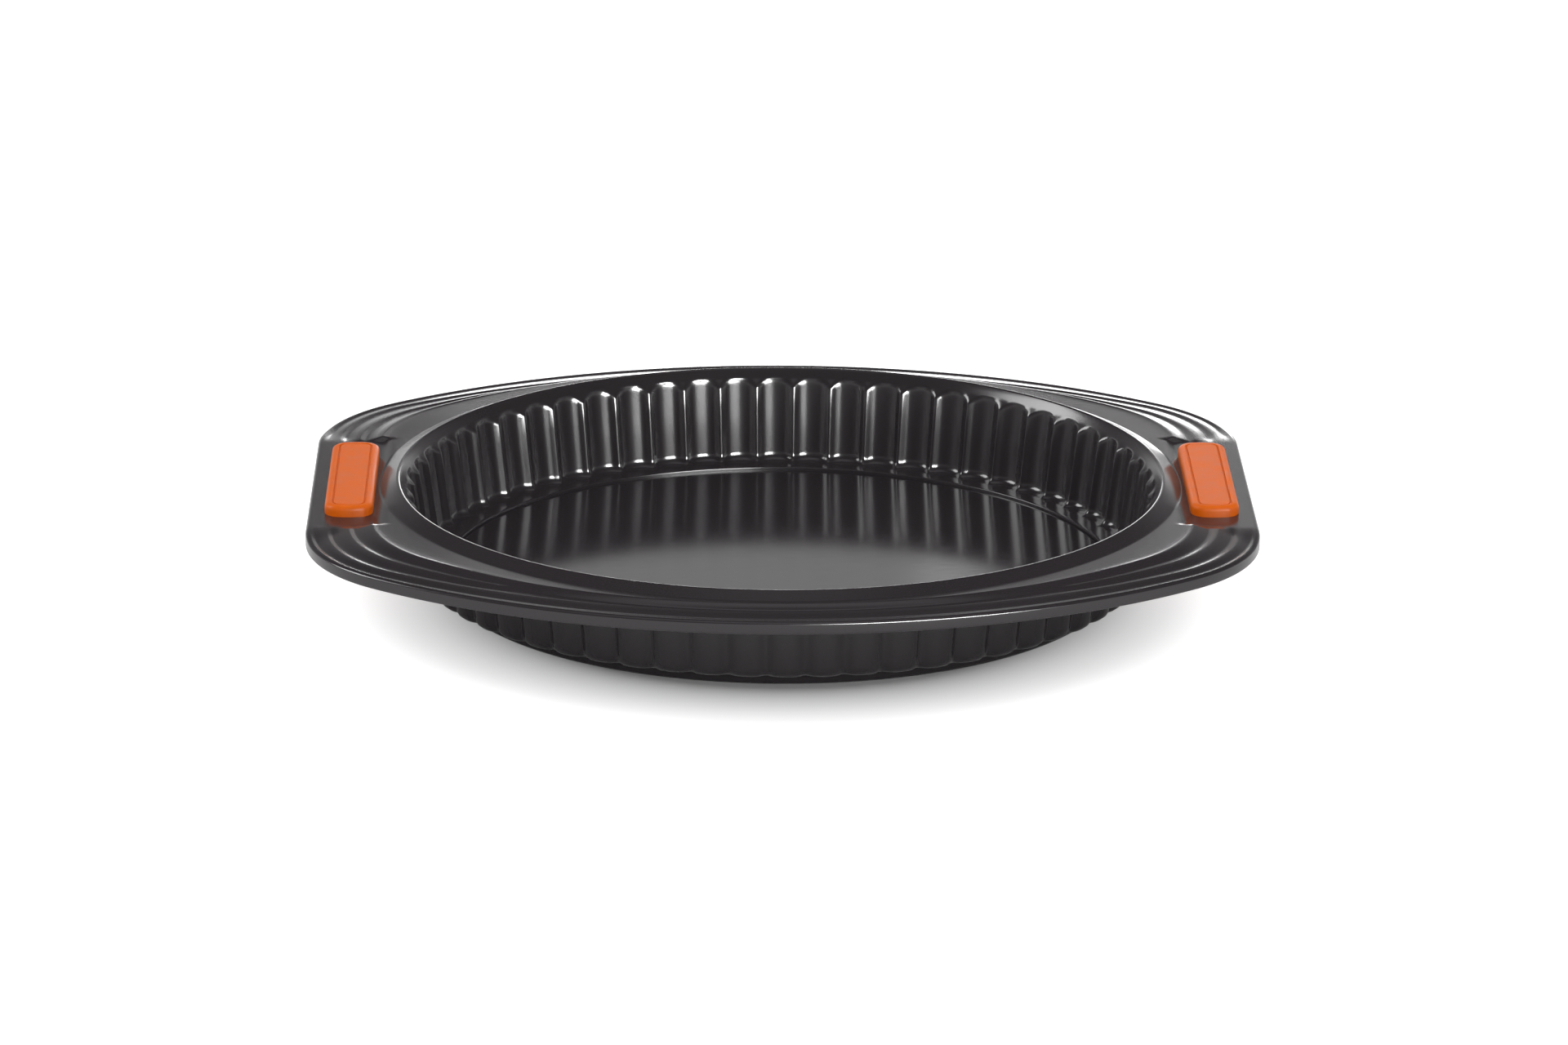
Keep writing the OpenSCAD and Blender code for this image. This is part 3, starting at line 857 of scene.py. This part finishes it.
def grip_outline(g):
    """Points of a grip's outline: straight sides, round corners and bowed ends."""
    corner_x, corner_y, r = GRIP_HALF_W - g.corner_r, GRIP_HALF_L - g.corner_r, g.corner_r
    side = [(GRIP_HALF_W, corner_y * t) for t in SIDE_SHARES]
    arc = [(corner_x + r * math.cos(a), corner_y + r * math.sin(a))
           for a in np.linspace(0, math.pi / 2, CORNER_POINTS)]
    end = [(corner_x * t, GRIP_HALF_L) for t in END_SHARES]
    quarter = [(x, min(y, GRIP_HALF_L - g.bow_r + math.sqrt(g.bow_r ** 2 - x ** 2)))
               for x, y in side + arc + end]
    half = quarter + [(-x, y) for x, y in quarter[-2::-1]]
    return half + [(x, -y) for x, y in half[-2:0:-1]]


class TIN_OT_grips(Operator):
    """Model the two silicone grips, each with a bare framed panel and a lip under the sheet"""
    bl_idname = "tin.grips"
    bl_label = "Silicone grips"

    def execute(self, context):
        scene = context.scene
        g, f, s = scene.tin_grip_sizes, scene.tin_flange_sizes, scene.tin_shell_sizes
        material = silicone_material(scene.tin_finishes)
        pad_z = SHELL_HIGH.z - f.pad_drop
        points = grip_outline(g)
        for name, node, side in (("grip_right", "right_grip", 1), ("grip_left", "left_grip", -1)):
            deselect_all()
            bpy.ops.mesh.primitive_circle_add(
                vertices=len(points), radius=GRIP_HALF_W, fill_type="NGON",
                location=(side * GRIP_X, 0, GRIP_LOW.z))
            piece = context.object
            piece.name = piece.data.name = name
            for vertex, (x, y) in zip(piece.data.vertices, points):
                vertex.co = (x, y, 0)
            bpy.ops.object.mode_set(mode="EDIT")
            self.stack(piece, g, pad_z - s.sheet - GRIP_LOW.z, s.sheet, GRIP_HIGH.z - pad_z)
            bpy.ops.mesh.select_all(action="SELECT")
            bpy.ops.mesh.normals_make_consistent(inside=False)
            bpy.ops.object.mode_set(mode="OBJECT")
            bpy.ops.object.shade_smooth_by_angle(angle=math.radians(50))
            settle(piece, "tin", "grip_silicone", material, node)
        return {"FINISHED"}

    def stack(self, piece, g, under, sheet, cap):
        """Extrudes the under lip, the neck and the cap, then rounds the cap and cuts its frame."""
        def up(height):
            bpy.ops.mesh.extrude_region_move(TRANSFORM_OT_translate={"value": (0, 0, height)})

        bpy.ops.mesh.select_mode(type="FACE")
        bpy.ops.mesh.select_all(action="SELECT")
        bpy.ops.mesh.flip_normals()
        neck = (1 - g.lap / GRIP_HALF_W, 1 - g.lap / GRIP_HALF_L, 1)
        centre = (piece.location.x, 0, 0)
        up(under)
        up(0)
        bpy.ops.transform.resize(value=neck, center_override=centre)
        up(sheet)
        up(0)
        bpy.ops.transform.resize(value=(1 / neck[0], 1 / neck[1], 1), center_override=centre)
        up(cap)
        top = under + sheet + cap
        bpy.ops.mesh.select_all(action="SELECT")
        bpy.ops.mesh.normals_make_consistent(inside=False)
        select_where(piece, "edges", lambda e: all(abs(v.co.z - top) < LEVEL for v in e.verts))
        bpy.ops.mesh.bevel(offset=g.edge_round, segments=5, profile=0.5, affect="EDGES")
        select_where(piece, "faces", lambda p: p.normal.z > 0.99 and len(p.verts) > 8
                     and abs(p.calc_center_median().z - top) < LEVEL)
        bpy.ops.mesh.inset(thickness=g.groove_in - g.edge_round)
        bpy.ops.mesh.inset(thickness=GROOVE_SIDE, depth=-g.groove_deep)
        bpy.ops.mesh.inset(thickness=g.groove_w - 2 * GROOVE_SIDE)
        bpy.ops.mesh.inset(thickness=GROOVE_SIDE, depth=g.groove_deep * PANEL_RISE_SHARE)


FLOOR_SIZE = 12
FLOOR_MATT, FLOOR_SEEN = (0.86, 0.86, 0.86, 1), (0.45, 0.45, 0.45, 1)

# Painted shadow round the tin: the floor's glow is dim close to it and pales to white between two
# distances, measured a little longer at the ears and back
PAINTED_SHADOW_NEAR, PAINTED_SHADOW_FAR = 118 * MM, 180 * MM
PAINTED_SHADOW_STRETCH, PAINTED_SHADOW_SHIFT = (1.09, 1, 1), (0, 8 * MM, 0)
PAINTED_SHADOW_STOPS = ((0, 0.05), (0.1, 0.22), (0.19, 0.33), (0.27, 0.41), (0.35, 0.48), (0.44, 0.55),
              (0.6, 0.66), (0.76, 0.8), (1, 1))

# The surroundings that the coating mirrors, from the horizon up
MIRROR_STOPS = ((0, 0.35), (0.1, 0.3), (0.18, 0.1), (0.28, 0.08), (0.36, 0.06), (0.5, 0.01),
                (0.9, 0.01), (0.98, 0.2))
SEEN_LIGHT, SOFT_LIGHT, MIRROR_LIGHT = 1.0, 1.25, 3.3
WHITE = (1, 1, 1, 1)

# Area lamps for the highlights: name, direction and height in degrees, distance and size in
# metres, and power in watts
LAMPS = (
    ("front_right_window", -64, 16, 2.2, (1.25, 0.95), 205),
    ("left_window", 168, 33, 2.0, (1.0, 0.8), 25),
    ("horizon_panel", 86, 3.4, 2.4, (0.84, 0.32), 5.6),
    ("back_softbox", 91, 17.5, 0.9, (0.26, 0.13), 0.058),
    ("right_softbox", 78, 17, 0.9, (0.2, 0.13), 0.03),
)
LIT_POINT = Vector((0, 0, 0.03))

SENSOR_WIDTH, VIEW_END = 36, 50


class TIN_OT_stage(Operator):
    """Set the floor with its painted shadow, the soft lights, the white surroundings and the camera
    """
    bl_idname = "tin.stage"
    bl_label = "Studio"

    def execute(self, context):
        self.floor()
        self.surroundings(context.scene)
        self.lamps()
        self.camera(context.scene, context.scene.tin_studio)
        context.scene.view_settings.view_transform = "Standard"
        return {"FINISHED"}

    def floor(self):
        """A matt floor. Where the camera sees it, a glow that is dim near the tin paints a shadow
        there and pales the floor to white further off.
        """
        deselect_all()
        bpy.ops.mesh.primitive_plane_add(size=FLOOR_SIZE, location=(0, 0, 0))
        floor = bpy.context.object
        floor.name = floor.data.name = "studio_floor"
        material = bpy.data.materials.new("pale_floor")
        nodes, links = clear_nodes(material)
        out = add_node(nodes, "ShaderNodeOutputMaterial")
        path = add_node(nodes, "ShaderNodeLightPath")
        matt = add_node(nodes, "ShaderNodeBsdfDiffuse", {"Color": FLOOR_MATT})
        seen = add_node(nodes, "ShaderNodeBsdfDiffuse", {"Color": FLOOR_SEEN})
        # Painted shadow: a glow on the floor, seen by the camera only, dim close to the tin and
        # white away from it
        painted_shadow_glow = add_node(nodes, "ShaderNodeEmission")
        where = add_node(nodes, "ShaderNodeTexCoord")
        shifted = add_node(nodes, "ShaderNodeVectorMath", {1: PAINTED_SHADOW_STRETCH, 2: PAINTED_SHADOW_SHIFT},
                           operation="MULTIPLY_ADD")
        away = add_node(nodes, "ShaderNodeVectorMath", operation="LENGTH")
        links.new(where.outputs["Object"], shifted.inputs[0])
        links.new(shifted.outputs["Vector"], away.inputs[0])
        part = add_node(nodes, "ShaderNodeMapRange", {"From Min": PAINTED_SHADOW_NEAR, "From Max": PAINTED_SHADOW_FAR})
        links.new(away.outputs["Value"], part.inputs["Value"])
        ramp = add_ramp(nodes, PAINTED_SHADOW_STOPS)
        links.new(part.outputs["Result"], ramp.inputs["Fac"])
        links.new(ramp.outputs["Color"], painted_shadow_glow.inputs["Color"])
        seen_and_painted_shadow = add_node(nodes, "ShaderNodeAddShader")
        links.new(seen.outputs["BSDF"], seen_and_painted_shadow.inputs[0])
        links.new(painted_shadow_glow.outputs["Emission"], seen_and_painted_shadow.inputs[1])
        links.new(mix_shaders(nodes, links, path.outputs["Is Camera Ray"], matt.outputs["BSDF"],
                              seen_and_painted_shadow.outputs["Shader"]), out.inputs["Surface"])
        floor.data.materials.append(material)

    def surroundings(self, scene):
        """White to the camera, even soft light, and a graded room that the coating mirrors."""
        world = bpy.data.worlds.new("white_studio")
        scene.world = world
        nodes, links = clear_nodes(world)
        out = add_node(nodes, "ShaderNodeOutputWorld")
        path = add_node(nodes, "ShaderNodeLightPath")
        where = add_node(nodes, "ShaderNodeTexCoord")
        parts = add_node(nodes, "ShaderNodeSeparateXYZ")
        links.new(where.outputs["Generated"], parts.inputs["Vector"])
        ramp = add_ramp(nodes, MIRROR_STOPS)
        links.new(parts.outputs["Z"], ramp.inputs["Fac"])
        white = add_node(nodes, "ShaderNodeBackground", {"Color": WHITE, "Strength": SEEN_LIGHT})
        soft = add_node(nodes, "ShaderNodeBackground", {"Color": WHITE, "Strength": SOFT_LIGHT})
        mirror = add_node(nodes, "ShaderNodeBackground", {"Strength": MIRROR_LIGHT})
        links.new(ramp.outputs["Color"], mirror.inputs["Color"])
        unseen = mix_shaders(nodes, links, path.outputs["Is Glossy Ray"],
                             soft.outputs["Background"], mirror.outputs["Background"])
        links.new(mix_shaders(nodes, links, path.outputs["Is Camera Ray"], unseen,
                              white.outputs["Background"]), out.inputs["Surface"])

    def lamps(self):
        for name, azimuth, elevation, distance, size, power in LAMPS:
            a, e = math.radians(azimuth), math.radians(elevation)
            way = Vector((math.cos(a) * math.cos(e), math.sin(a) * math.cos(e), math.sin(e)))
            lamp = bpy.data.lights.new(name, "AREA")
            lamp.shape = "RECTANGLE"
            lamp.size, lamp.size_y = size
            lamp.energy = power
            holder = bpy.data.objects.new(name, lamp)
            holder.location = way * distance + LIT_POINT
            holder.rotation_euler = way.to_track_quat("Z", "Y").to_euler()
            holder.visible_diffuse = False
            bpy.context.scene.collection.objects.link(holder)

    def camera(self, scene, studio):
        e, yaw, roll = studio.elevation, studio.yaw, studio.roll
        back = Vector((math.sin(yaw) * math.cos(e), -math.cos(yaw) * math.cos(e), math.sin(e)))
        level = Vector((math.cos(yaw), math.sin(yaw), 0))
        rise = level.cross(-back)
        right = level * math.cos(roll) + rise * math.sin(roll)
        up = -level * math.sin(roll) + rise * math.cos(roll)
        data = bpy.data.cameras.new("studio_camera")
        data.sensor_width, data.lens = SENSOR_WIDTH, studio.lens
        data.clip_end = VIEW_END
        camera = bpy.data.objects.new("studio_camera", data)
        spot = Vector(studio.target) + back * studio.distance
        camera.matrix_world = (Matrix.Translation(spot)
                               @ Matrix((right, up, back)).transposed().to_4x4())
        scene.collection.objects.link(camera)
        scene.camera = camera


class TIN_PT_panel(Panel):
    """Lists the tin's pieces and its studio"""
    bl_label = "Quiche Tin"
    bl_idname = "TIN_PT_panel"
    bl_space_type = "VIEW_3D"
    bl_region_type = "UI"
    bl_category = "Quiche Tin"

    def draw(self, context):
        for operator in OPERATORS:
            self.layout.operator(operator.bl_idname)


SETTINGS = {
    "tin_shell_sizes": ShellSizes,
    "tin_flange_sizes": FlangeSizes,
    "tin_grip_sizes": GripSizes,
    "tin_finishes": Finishes,
    "tin_studio": StudioSettings,
}
OPERATORS = (TIN_OT_shell, TIN_OT_base, TIN_OT_grips, TIN_OT_stage)
CLASSES = (*SETTINGS.values(), *OPERATORS, TIN_PT_panel)


def register():
    for item in CLASSES:
        bpy.utils.register_class(item)
    for name, group in SETTINGS.items():
        setattr(bpy.types.Scene, name, PointerProperty(type=group))


def unregister():
    for name in SETTINGS:
        delattr(bpy.types.Scene, name)
    for item in reversed(CLASSES):
        bpy.utils.unregister_class(item)


def main():
    register()
    bpy.ops.tin.shell()
    bpy.ops.tin.base()
    bpy.ops.tin.grips()
    bpy.ops.tin.stage()


if __name__ == "__main__":
    main()
